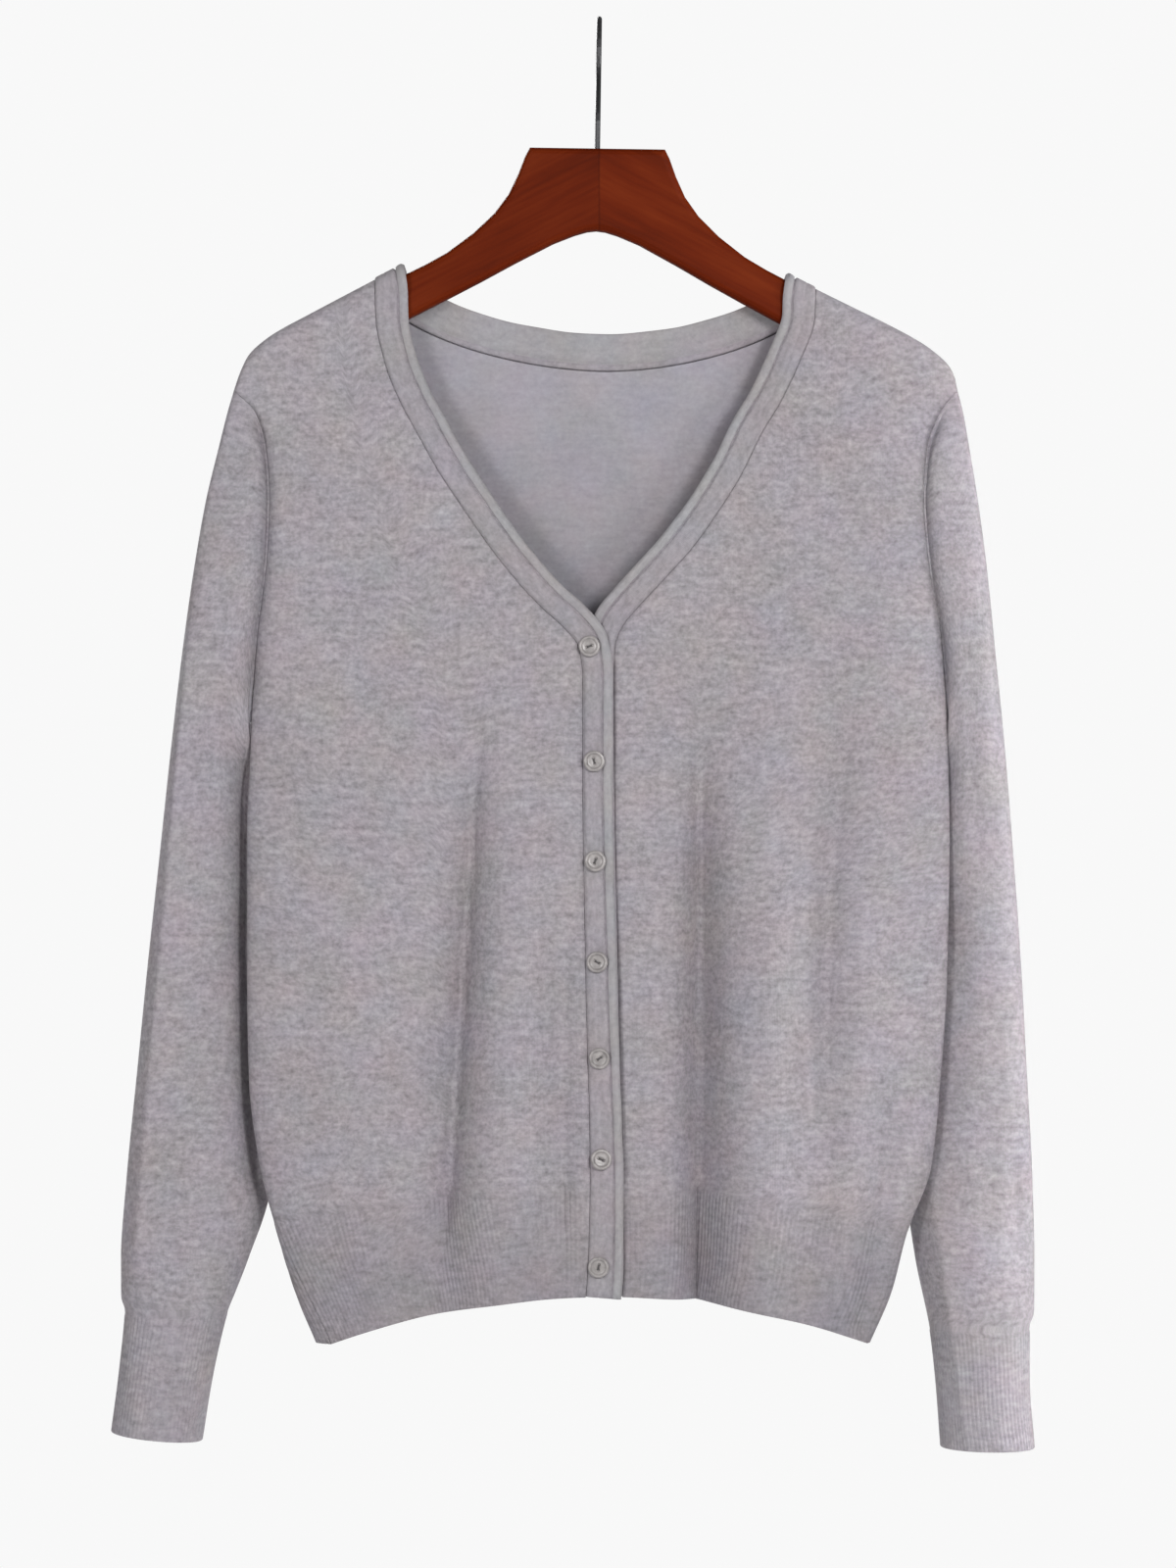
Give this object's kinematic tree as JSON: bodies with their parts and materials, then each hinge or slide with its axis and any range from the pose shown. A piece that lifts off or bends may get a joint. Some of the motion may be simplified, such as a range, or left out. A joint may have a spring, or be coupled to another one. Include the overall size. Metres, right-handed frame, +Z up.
{
  "type": "button cardigan",
  "caption": "Fine-knit V-neck cardigan with a rolled front band, small round buttons and ribbed hem and cuffs, hanging from a flat wooden hanger with a thin wire hook.",
  "frame": {"origin": "the point inside the top of the hook that bears on a rail", "axes": "+Z up, +Y to the back of the garment, +X to the right of someone looking at its front (the wearer's left)"},
  "size_m": [0.5094, 0.0956, 0.788],
  "materials": {
    "grey_melange_knit": "matt fine-gauge melange jersey, slightly mauve",
    "button_resin": "pearly warm grey, soft gloss",
    "mahogany": "red-brown stain under satin lacquer",
    "blackened_steel": "dark grey wire, satin"
  },
  "bodies": {
    "root": {"back": "grey_melange_knit", "right_front": "grey_melange_knit", "left_front": "grey_melange_knit", "right_sleeve": "grey_melange_knit", "left_sleeve": "grey_melange_knit", "neck_and_front_band": "grey_melange_knit", "button_1": "button_resin", "button_2": "button_resin", "button_3": "button_resin", "button_4": "button_resin", "button_5": "button_resin", "button_6": "button_resin", "button_7": "button_resin", "hanger_wood": "mahogany", "hanger_hook": "blackened_steel"}
  },
  "joints": []
}
